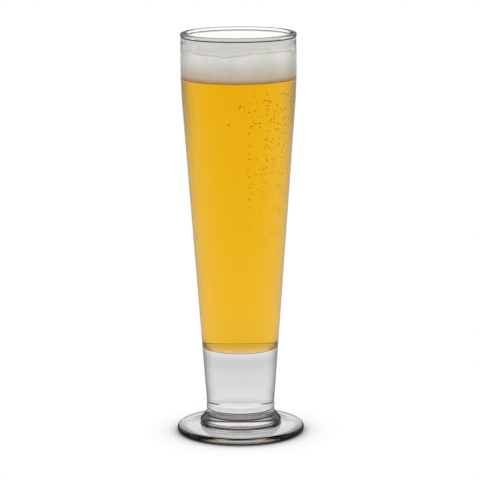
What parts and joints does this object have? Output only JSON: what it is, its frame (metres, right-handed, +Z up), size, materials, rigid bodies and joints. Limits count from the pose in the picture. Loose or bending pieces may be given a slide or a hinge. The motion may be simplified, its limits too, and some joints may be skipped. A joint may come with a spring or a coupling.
{
  "type": "pilsner glass",
  "caption": "Tall footed pilsner glass: a slim tapered bowl on a thick solid shank, fused to a round pressed foot, filled with pale beer under a head of foam.",
  "frame": {"origin": "centre of the foot's underside, in the plane of the table that it stands on", "axes": "+Z up along the axis of the glass, from the foot to the lip; the glass is round, so +X and +Y are any two directions across it, and -Y faces the viewer of the picture"},
  "size_m": [0.0744, 0.0744, 0.235],
  "materials": {
    "clear_glass": "polished",
    "pale_beer": "gloss",
    "beer_foam": "matte"
  },
  "bodies": {
    "root": {"bowl": "clear_glass", "foot": "clear_glass", "beer": "pale_beer", "foam_head": "beer_foam"}
  },
  "joints": []
}
